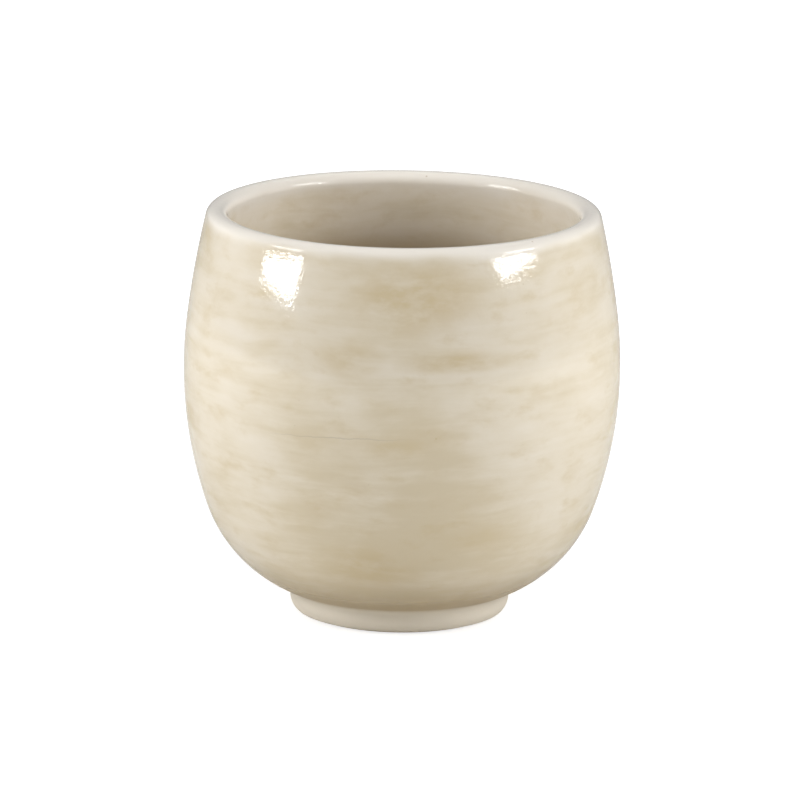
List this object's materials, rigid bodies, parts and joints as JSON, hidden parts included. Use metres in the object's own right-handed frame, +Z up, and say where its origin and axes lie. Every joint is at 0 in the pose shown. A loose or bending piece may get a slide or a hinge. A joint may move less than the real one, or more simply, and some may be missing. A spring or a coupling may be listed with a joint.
{
  "type": "bonsai pot",
  "caption": "Round glazed stoneware bonsai pot on a low foot ring, with a drain hole covered by a clipped mesh screen.",
  "frame": {"origin": "on the pot's axis, at the level of the foot ring's contact face: the centre of the bottom of the box", "axes": "+Z up along the pot's axis; the clip's bent legs lie along X; +Y points away from the pictured front"},
  "size_m": [0.14, 0.14, 0.132],
  "materials": {
    "stoneware_clay": "unglazed matt fired clay",
    "cream_glaze": "gloss, streaked cream and ochre",
    "mesh_plastic": "matt",
    "clip_wire": "satin drawn wire"
  },
  "bodies": {
    "root": {"bowl": "stoneware_clay", "foot_ring": "stoneware_clay", "glaze_outside": "cream_glaze", "glaze_inside": "cream_glaze", "drain_screen": "mesh_plastic", "screen_clip": "clip_wire"}
  },
  "joints": []
}
